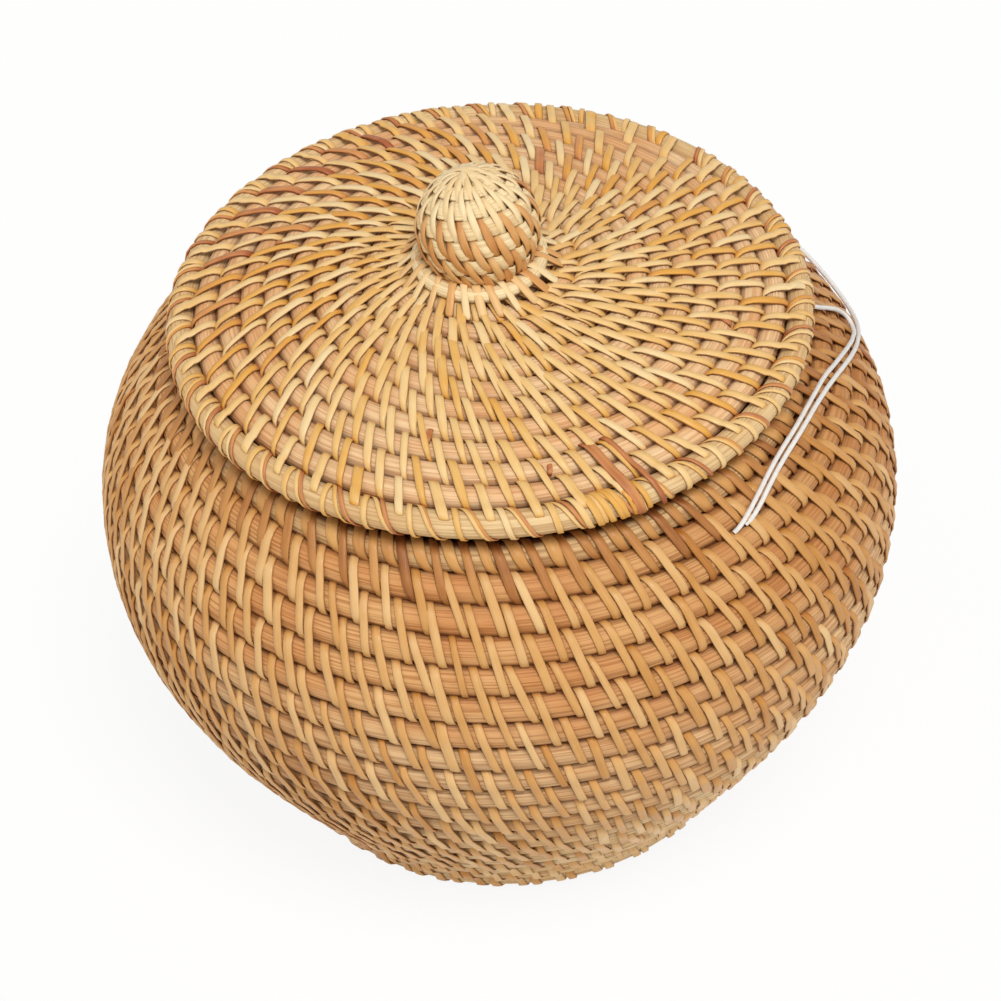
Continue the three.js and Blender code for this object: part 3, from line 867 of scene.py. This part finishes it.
def make_mouth():
    """Long brown wraps follow on from the pot's rows, with a short golden one between each two."""
    long_wraps = pot.angle_at(pot_turns[pot_turns >= LASHING_END])
    gap = 2 * math.pi / len(long_wraps)
    short_wraps = long_wraps + gap / 2
    count = len(long_wraps)
    # Where the lid's edge hides them, the wraps take painted shadow, most at the front
    painted_lid_shadow = np.clip(np.cos(short_wraps - MOUTH_SHADOW_DARKEST_AT) * 2 - 1, 0.12, 0.36)
    bm = lay_strips(
        pot.shell, short_wraps, pot_length, pot_length, random_tones(count, 0.74, 0.1), reed=POT_REED,
        slant=-0.3, width=2.9, tucks=(1.5, 2.6), taper=(0.2, 0.0), hook=(1.3, 0.0), end_shadow=painted_lid_shadow,
    )
    add_piece(bm, "mouth_short_wraps", "pot", rim_strip, "pot_strip", "mouth_rim_binding")
    bm = lay_strips(
        pot.shell, long_wraps, pot_length - pot_pitch, pot_length, random_tones(count, 0.5, 0.09),
        reed=POT_REED, slant=-0.3, width=2.3, tucks=(1.4, 2.6), taper=(0.4, 0.0), hook=(0.6, 0.0),
        lift=0.08, end_shadow=painted_lid_shadow,
    )
    add_piece(bm, "mouth_long_wraps", "pot", rim_strip, "pot_strip")


# The lid

# Half the width and thickness of the reeds
LID_REED = (lid_pitch / 2, LID_REED_RADIUS)
RIM_REED = (RIM_REED_RADIUS, RIM_REED_RADIUS)
# Name, first and last turn
LID_LENGTHS = [("lid_centre", 0, 4), ("lid_middle", 4, 8), ("lid_outer", 8, LID_TURNS)]
# Tone of each course's strips, from the middle out, and of all where they are even
ROW_TONES = np.array([0.8, 0.8, 0.62, 0.8, 0.6, 0.9, 0.34, 0.95, 0.42, 0.8, 0.18])
EVEN_TONE = 0.73
EVEN_AT = -1.2
RIM_WRAPS_FROM = LID_TURNS - CLIMB
RIM_TUCKS = (1.5, 2.7)
# Angles round the lid of the bunch of tight wraps and of the brown tails
BUNCH_ANGLES = np.radians(np.arange(-76, -65, 1.6))
TAIL_ANGLES = np.radians([-68.5, -64])
# Cut ends: degrees round the lid, way out, slant and half the length
CUT_ENDS = [
    (-106, 52.5, 0, 1.3), (-81.6, 61.6, 0.3, 0.9), (-80.2, 61.8, -0.2, 0.8), (-5, 41, 0.3, 1.2),
    (-18, 55.5, -0.3, 1.1), (160, 50, 0.3, 1.2),
]


def lid_spacing(radius):
    """Millimetres between strips, closest at the middle."""
    return 2.6 + 0.096 * radius


lid_turns = strip_turns(lid, 1, RIM_WRAPS_FROM + 1, lid_spacing, drift=1.1)


def make_lid():
    for name, first, last in LID_LENGTHS:
        wide, thick = LID_REED
        taper = CLIMB if last == LID_TURNS else 0.0
        bm = spiral_reed(lid, first, last, wide + PRESSED, thick, taper)
        add_piece(bm, f"{name}_reed", "lid", lid_reed, "lid_reed", f"{name}_coil")
    rim = ring_reed(lid.shell, lid_length, *RIM_REED)
    add_piece(rim, "lid_rim_reed", "lid", lid_rim_reed, "lid_rim_reed", "lid_rim_coil")
    turns = lid_turns[lid_turns < RIM_WRAPS_FROM]
    low, high = lid.length_at(turns - 1), lid.length_at(turns)
    angles = lid.angle_at(turns)
    rows = ROW_TONES[turns.astype(int)]
    # The strips are strongly tinted on the left and more even at the front
    even = np.clip(0.45 + 0.55 * np.cos(angles - EVEN_AT), 0, 0.85)
    shades = np.clip(rows + (EVEN_TONE - rows) * even + rng.normal(0, 0.1, len(turns)), 0.02, 0.98)
    bm = lay_strips(
        lid.shell, angles, low, high, shades, reed=LID_REED, slant=LID_STRIP_SLANT,
        width=LID_STRIP_WIDTH, lift=0.1, arch=0.5, taper=(0.0, 0.4),
    )
    add_piece(bm, "lid_lashing", "lid", lid_strip, "lid_strip")
    bm = lay_strips(
        lid.shell, angles, low, high, shades, inner_strip, reed=LID_REED, side=-1, slant=-STRIP_SLANT,
        width=1.8,
    )
    add_piece(bm, "lid_inside_lashing", "lid", lid_strip, "lid_strip")


def wrap_rim(name, angles, shades, **looks):
    """Strips that go round the rim's reed alone."""
    bm = lay_strips(
        lid.shell, angles, lid_length, lid_length, shades, reed=RIM_REED, tucks=RIM_TUCKS, **looks,
    )
    add_piece(bm, f"lid_rim_{name}_wraps", "lid", lid_strip, "lid_strip")


def make_lid_rim():
    """Between each two broad wraps: a straight one, and a slanting pair, one pale and one brown."""
    broad = lid.angle_at(lid_turns[lid_turns >= RIM_WRAPS_FROM])
    count = len(broad)
    inner = lid.reaches[LID_TURNS - 1]
    bm = lay_strips(
        lid.shell, broad, inner, lid_length - 0.9, random_tones(count, 0.76, 0.08), reed=LID_REED,
        high_reed=(2.2, RIM_REED_RADIUS), width=2.3, lift=0.1, arch=0.4, tucks=(1.3, 0.6), slant=0.3,
        taper=(0.0, 0.1),
    )
    add_piece(bm, "lid_rim_wide_wraps", "lid", lid_strip, "lid_strip", "lid_rim_binding")
    step = 2 * math.pi / count
    shades = random_tones(count, 0.66, 0.12)
    wrap_rim("straight", broad + step * 0.36, shades, width=1.6, thickness=0.45, slant=0.2)
    slanted = broad + step * 0.7
    pair = np.concatenate([slanted - 0.008, slanted + 0.008])
    shades = np.concatenate([random_tones(count, 0.72, 0.1), random_tones(count, 0.2, 0.06)])
    wrap_rim("thin", pair, shades, width=1.15, thickness=0.45, slant=0.52)


def make_lid_details():
    """A bunch of tight wraps on the rim, two long brown tails over it, and ends that stick out."""
    shades = random_tones(len(BUNCH_ANGLES), 0.42, 0.2)
    wrap_rim("bunched", BUNCH_ANGLES, shades, width=1.6, thickness=0.5, slant=0.3, lift=0.25)
    bm = lay_strips(
        lid.shell, TAIL_ANGLES, lid.reaches[LID_TURNS - 2], lid_length, [0.14, 0.1], reed=LID_REED,
        high_reed=RIM_REED, width=[2.4, 1.5], tucks=(1.2, 2.2), slant=0.3, lift=0.5,
    )
    add_piece(bm, "lid_rim_brown_tails", "lid", lid_strip, "lid_strip")
    for number, (degrees, length, slant, reach) in enumerate(CUT_ENDS, start=1):
        bm = lay_strips(
            lid.shell, np.radians([degrees]), length - reach, length + reach, [0.12], slant=slant,
            reed=(0.3, LID_REED_RADIUS), width=1.3, thickness=0.5, tucks=(0.8, 0.8), lift=0.1,
        )
        add_piece(bm, f"lid_cut_end_{number}", "lid", lid_strip, "lid_strip")


def upright_shell(radius, low, high):
    return Shell([(radius, low), (radius, high)], side=1, soften=1)


def level_shell(height, reach):
    return Shell([(0.1, height), (reach, height)], side=-1, soften=1)


def middle_height(box):
    return (box[0].z + box[1].z) / 2 / MM


def make_hidden_rings():
    reach = 8
    seat = upright_shell(SEAT_RADIUS, SEAT_HEIGHT - reach, SEAT_HEIGHT + reach)
    bm = ring_reed(seat, reach, SEAT_REED_RADIUS, SEAT_REED_RADIUS)
    # The seat ring takes the dark painted-shadow finish
    add_piece(bm, "lid_seat_reed", "lid", painted_shadow_reed, "lid_reed", "lid_seat_coil")
    bottom, top = (corner.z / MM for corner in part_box("lid_collar_coil"))
    collar = upright_shell(COLLAR_RADIUS, bottom, top)
    pitch = (top - bottom) / COLLAR_TURNS
    reaches = [pitch * (turn + 0.5) for turn in range(COLLAR_TURNS + 2)]
    coil = Coil(collar, reaches, COLLAR_START, -2, -1)
    bm = spiral_reed(coil, 0, COLLAR_TURNS - 0.1, pitch / 2 - 0.02, COLLAR_REED_RADIUS, taper=0.1)
    add_piece(bm, "lid_collar_reed", "lid", lid_reed, "lid_reed", "lid_collar_coil")
    turns = strip_turns(coil, 1, COLLAR_TURNS - 0.15, lambda radius: COLLAR_STRIP_GAP)
    bm = lay_strips(
        collar, coil.angle_at(turns), coil.length_at(turns - 1), coil.length_at(turns),
        random_tones(len(turns), 0.7, 0.15), inner_strip, reed=(pitch / 2, COLLAR_REED_RADIUS), width=1.7,
    )
    add_piece(bm, "lid_collar_lashing", "lid", lid_strip, "lid_strip")


# The knob

def ball_place(azimuth, latitude, size):
    """Points on the ball in metres. The weave's poles lean, and it twists from top to bottom."""
    twist = azimuth + BALL_TWIST * (1 - latitude) + LOW_TWIST * np.clip(-latitude, 0, 2)
    points = np.stack([
        size * np.cos(latitude) * np.cos(twist),
        size * np.cos(latitude) * np.sin(twist),
        size * np.sin(latitude),
    ], -1)
    lean = np.array(Matrix.Rotation(KNOB_TILTS[1], 3, "X") @ Matrix.Rotation(KNOB_TILTS[0], 3, "Y"))
    return (points @ lean.T + np.array(KNOB_CENTRE)) * MM


def knob_hoop(index, latitude):
    """A broad strip round the ball that goes over every third splint and under the other two."""
    sides = len(PEEL_PROFILE)
    bm = tube_mesh(SPLINTS * 6, sides)
    sheet = vertex_places(bm)
    profile = np.array([PEEL_PROFILE[round(y * sides) % sides] for y in sheet[:, 1]])
    angle = 2 * math.pi * sheet[:, 0]
    across, up = profile[:, 0] * HOOP_WIDTH / 2, profile[:, 1]
    wave = np.cos(2 * math.pi / 3 * (angle * SPLINTS / (2 * math.pi) + index))
    size = HOOP_RADIUS + HOOP_WEAVE * np.sign(wave) * np.abs(wave) ** 0.6 + up * KNOB_PEEL
    places = ball_place(angle, math.radians(latitude) + across / BALL_RADIUS, size)
    straight = np.stack([angle * BALL_RADIUS + 37 * index, across, up], -1) * MM
    bend(bm, places, straight, 1.0)
    close_up(bm)
    return bm


def knob_splints():
    """Each splint goes over two hoops and under one. Where it shows low on the ball it is darker."""
    bm, each, across, along, up = strip_copies(splint_strip, SPLINTS)
    latitude = SPLINT_BOTTOM + (SPLINT_TOPS[each % 3] - SPLINT_BOTTOM) * (along + 1) / 2
    start = math.radians(HOOP_LATITUDES[0])
    beat = (latitude - start) / HOOP_STEP + each
    wave = np.cos(2 * math.pi / 3 * beat)
    low = np.clip((-latitude - 0.35) / 0.6, 0, 1) ** 2
    weave = SPLINT_WEAVE * np.sign(wave) * np.abs(wave) ** 0.8
    size = SPLINT_RADIUS - weave + 1.3 * low + up * KNOB_PEEL
    ring = (SPLINT_RADIUS + 0.1) * np.cos(latitude)
    room = 2 * math.pi * ring / SPLINTS * SPLINT_SHARES[each % 3]
    width = np.minimum(SPLINT_WIDTH, room + 0.25)
    azimuth = each * 2 * math.pi / SPLINTS + across * width / 2 / ring
    places = ball_place(azimuth, latitude, size)
    grain = rng.uniform(0, 400, SPLINTS)[each]
    straight = np.stack([along * 20 + grain, across * width / 2, up], -1) * MM
    shown = start + HOOP_STEP * (3 * np.floor(beat / 3) + 1.5 - each)
    turning = shown + rng.normal(0, 0.1, SPLINTS)[each]
    tone = np.where(turning > SPLINT_PALE_FROM, 0.85, 0.32) + rng.normal(0, 0.08, SPLINTS)[each]
    bend(bm, places, straight, np.clip(tone, 0.05, 0.98))
    return bm


def crown_strips():
    """Splint ends that cross over the top of the ball."""
    offsets = np.array([0.5, -0.9, 0.3, 0.9, -0.4, 0.7, -0.6])
    bm, each, across, along, up = strip_copies(crown_strip, len(offsets))
    heading = each * math.pi / len(offsets) + 0.2
    reach = along * CROWN_REACH
    size = CROWN_RADIUS + up * KNOB_PEEL
    size = size + 0.09 * each * np.cos(along * 1.5) - 0.45 * np.abs(along) ** 4
    side = (across * 0.8 + 0.6 * offsets[each] * (1 - along ** 2)) / (BALL_RADIUS + KNOB_PEEL)
    x = np.sin(reach) * np.cos(heading) - np.sin(side) * np.sin(heading)
    y = np.sin(reach) * np.sin(heading) + np.sin(side) * np.cos(heading)
    azimuth, latitude = np.arctan2(y, x), np.arccos(np.clip(np.hypot(x, y), 0, 1))
    places = ball_place(azimuth, latitude, size)
    straight = np.stack([along * 9 + each * 31, across, up], -1) * MM
    bend(bm, places, straight, 0.85 + 0.1 * np.sin(each * 2.0))
    return bm


def make_knob():
    core = bmesh.new()
    bmesh.ops.create_icosphere(core, subdivisions=4, radius=BALL_CORE_RADIUS * MM)
    bmesh.ops.translate(core, verts=core.verts, vec=[value * MM for value in KNOB_CENTRE])
    add_piece(core, "knob_filling", "lid", knob_fill, "knob_filling", "knob_core")
    for index, latitude in enumerate(HOOP_LATITUDES):
        nodes = [f"knob_hoop_{index // 2}"] if index in (2, 4, 6) else []
        bm = knob_hoop(index, latitude)
        add_piece(bm, f"knob_hoop_strip_{index + 1}", "lid", knob_hoop_reed, "knob_hoop", *nodes)
    splint_nodes = [f"knob_splint_{number:02d}" for number in range(1, 17)]
    add_piece(knob_splints(), "knob_splint_strips", "lid", knob_strip, "knob_splint", *splint_nodes)
    add_piece(crown_strips(), "knob_crown_strips", "lid", knob_strip, "knob_splint")


def make_neck():
    """The reed and the fan of strips under the ball, and the tie under the lid."""
    under_ball = (KNOB_CENTRE[0] * MM, 0, 0)
    height = middle_height(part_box("knob_neck_ring"))
    neck = level_shell(height, NECK_RADIUS + 8)
    bm = ring_reed(neck, NECK_RADIUS, wide=2.1, thick=1.7, steps=72, sides=10, out_at=0.3)
    bmesh.ops.translate(bm, verts=bm.verts, vec=under_ball)
    add_piece(bm, "knob_neck_reed", "lid", knob_hoop_reed, "lid_reed", "knob_neck_ring")
    # The fan's strips come from under the ball, cross the neck's reed and end in the lid
    top = height + NECK_REED_RADIUS
    line = curve_through((10, top - 0.4), (13, top + 2.6), (15.2, top - 1.2), (18.8, top - 3.7))
    fan = Shell(line, side=-1, soften=1, beyond=2)
    numbers = np.arange(FAN_STRIPS)
    angles = numbers * 2 * math.pi / FAN_STRIPS
    shades = np.array([0.36, 0.8, 0.5])[numbers % 3] + rng.normal(0, 0.06, FAN_STRIPS)
    bm = lay_strips(
        fan, angles, 0.4, fan.length[-1] - 2.4, shades, slant=0.22, width=1.9, thickness=0.5,
        reed=(0.3, 0.0), taper=(0.0, 0.3),
    )
    bmesh.ops.translate(bm, verts=bm.verts, vec=under_ball)
    add_piece(bm, "knob_neck_fan", "lid", knob_strip, "knob_splint")
    tie = level_shell(middle_height(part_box("knob_tie_ring")), 20)
    bm = ring_reed(tie, TIE_RADIUS, TIE_REED_RADIUS, TIE_REED_RADIUS, steps=48, sides=10)
    add_piece(bm, "knob_tie_reed", "lid", mouth_reed, "lid_strip", "knob_tie_ring")


# Room and light

FLOOR_SIZE = 6
FLOOR_HEIGHT = -0.0003
FLOOR_COLOUR = (0.9, 0.89, 0.86, 1)
# Share of the floor that looks white to the camera, the rest of it takes the shadows
FLOOR_WHITENESS = 0.9
SKY_COLOUR = (1, 0.99, 0.97, 1)
SKY_LEVEL = 0.31
WHITE = (1, 1, 1, 1)
# Name, degrees round from the front to the right, degrees up, strength, and breadth in radians
LAMPS = [
    ("key", 16, 64, 2.1, 0.4),
    ("left_fill", -50, 44, 0.5, 1.2),
    ("right_fill", 62, 8, 0.58, 1.2),
]


def white_to_camera(tree, lit, white):
    """Seen by the camera or in a reflection it is mostly white. It lights the object as it is."""
    path = tree.nodes.new("ShaderNodeLightPath")
    seen = path.outputs["Is Camera Ray"]
    for ray in ("Is Glossy Ray", "Is Transmission Ray"):
        either = tree.nodes.new("ShaderNodeMath")
        either.operation = "MAXIMUM"
        tree.links.new(seen, either.inputs[0])
        tree.links.new(path.outputs[ray], either.inputs[1])
        seen = either.outputs[0]
    mix = tree.nodes.new("ShaderNodeMixShader")
    tree.links.new(seen, mix.inputs[0])
    tree.links.new(lit, mix.inputs[1])
    tree.links.new(white, mix.inputs[2])
    return mix.outputs[0]


def make_floor():
    bm = bmesh.new()
    bmesh.ops.create_grid(bm, x_segments=1, y_segments=1, size=FLOOR_SIZE)
    mesh = mesh_of(bm, "floor")
    floor = add_object("floor", mesh)
    floor.location.z = FLOOR_HEIGHT
    material = bpy.data.materials.new("pale_floor")
    material.use_nodes = True
    tree = material.node_tree
    tree.nodes.clear()
    lit = tree.nodes.new("ShaderNodeBsdfDiffuse")
    lit.inputs[0].default_value = FLOOR_COLOUR
    white = tree.nodes.new("ShaderNodeEmission")
    white.inputs[0].default_value = WHITE
    pale = tree.nodes.new("ShaderNodeMixShader")
    pale.inputs[0].default_value = FLOOR_WHITENESS
    tree.links.new(lit.outputs[0], pale.inputs[1])
    tree.links.new(white.outputs[0], pale.inputs[2])
    output = tree.nodes.new("ShaderNodeOutputMaterial")
    tree.links.new(white_to_camera(tree, lit.outputs[0], pale.outputs[0]), output.inputs[0])
    mesh.materials.append(material)


def make_world():
    world = bpy.data.worlds.new("studio")
    world.use_nodes = True
    tree = world.node_tree
    tree.nodes.clear()
    lit = tree.nodes.new("ShaderNodeBackground")
    lit.inputs[0].default_value = SKY_COLOUR
    lit.inputs[1].default_value = SKY_LEVEL
    white = tree.nodes.new("ShaderNodeBackground")
    output = tree.nodes.new("ShaderNodeOutputWorld")
    white.inputs[0].default_value = WHITE
    tree.links.new(white_to_camera(tree, lit.outputs[0], white.outputs[0]), output.inputs[0])
    bpy.context.scene.world = world


def add_lamp(name, azimuth, elevation, strength, breadth):
    data = bpy.data.lights.new(name, "SUN")
    data.energy = strength
    data.angle = breadth
    lamp = add_object(name, data)
    turn = Matrix.Rotation(math.radians(azimuth), 4, "Z")
    lamp.matrix_world = turn @ Matrix.Rotation(math.radians(90 - elevation), 4, "X")


make_pot_reeds()
make_pot_lashing()
make_mouth()
make_lid()
make_lid_rim()
make_lid_details()
make_hidden_rings()
make_knob()
make_neck()
make_floor()
make_world()
for lamp in LAMPS:
    add_lamp(*lamp)

bpy.context.scene.view_settings.view_transform = "Standard"
